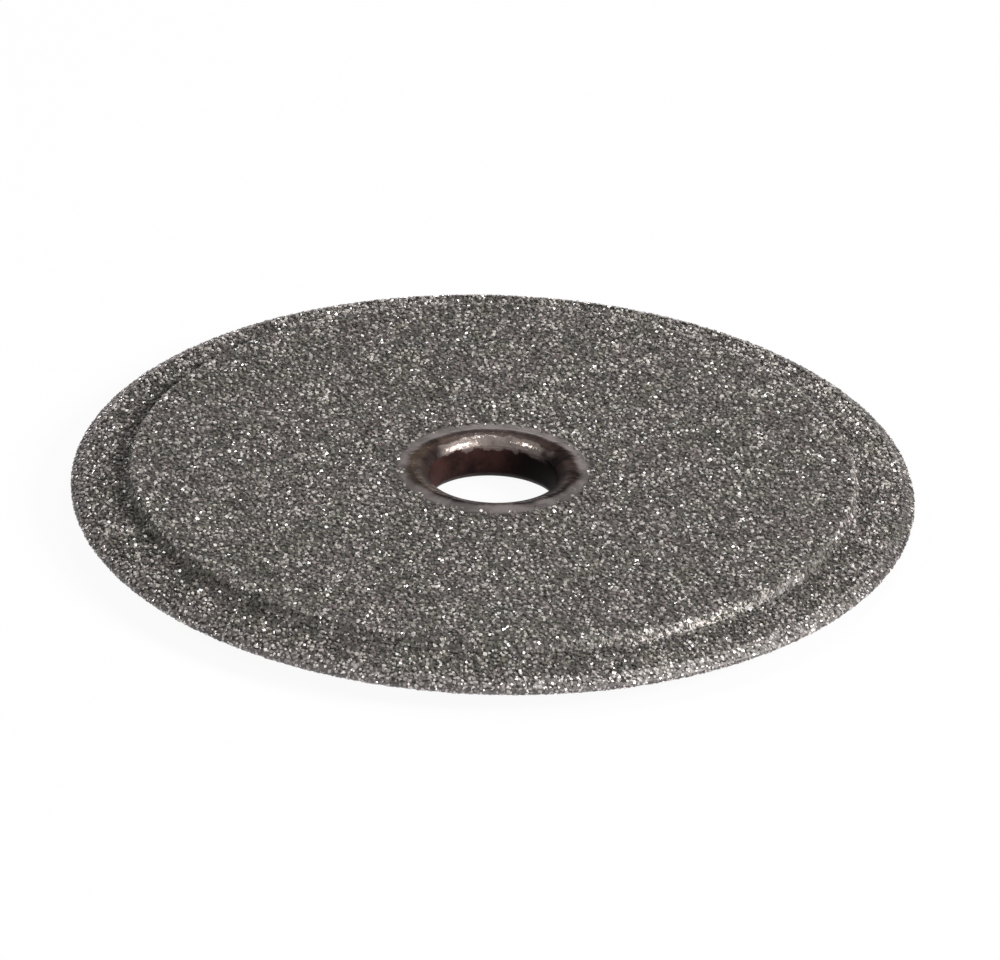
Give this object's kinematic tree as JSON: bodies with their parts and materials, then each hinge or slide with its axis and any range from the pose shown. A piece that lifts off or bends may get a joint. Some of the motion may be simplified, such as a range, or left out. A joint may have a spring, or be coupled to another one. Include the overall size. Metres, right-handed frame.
{
  "type": "diamond grinding wheel",
  "caption": "Thin round grinding wheel with a plain bore, a raised face and stepped, bevelled border on both sides, coated with diamond grit in nickel.",
  "frame": {"origin": "centre of the bore and of the wheel, half-way through its thickness", "axes": "+Z along the spindle axis out of one face; the wheel is round, so X and Y are free, and both sides are alike"},
  "size_m": [0.04, 0.04, 0.0024],
  "materials": {
    "core_steel": "turned steel, browned and glossy in the bore",
    "plain_nickel": "satin nickel plate without grit",
    "diamond_coat": "rough grey nickel full of sparkling diamond grit",
    "rim_coat": "rubbed grey nickel with finer, deeper-set grit"
  },
  "bodies": {
    "root": {"steel_core": "core_steel", "upper_margin_ring": "plain_nickel", "upper_face_coat": "diamond_coat", "upper_step_coat": "diamond_coat", "upper_shoulder_coat": "diamond_coat", "upper_bevel_coat": "diamond_coat", "rim_coat": "rim_coat", "lower_bevel_coat": "diamond_coat", "lower_shoulder_coat": "diamond_coat", "lower_step_coat": "diamond_coat", "lower_face_coat": "diamond_coat", "lower_margin_ring": "plain_nickel"}
  },
  "joints": []
}
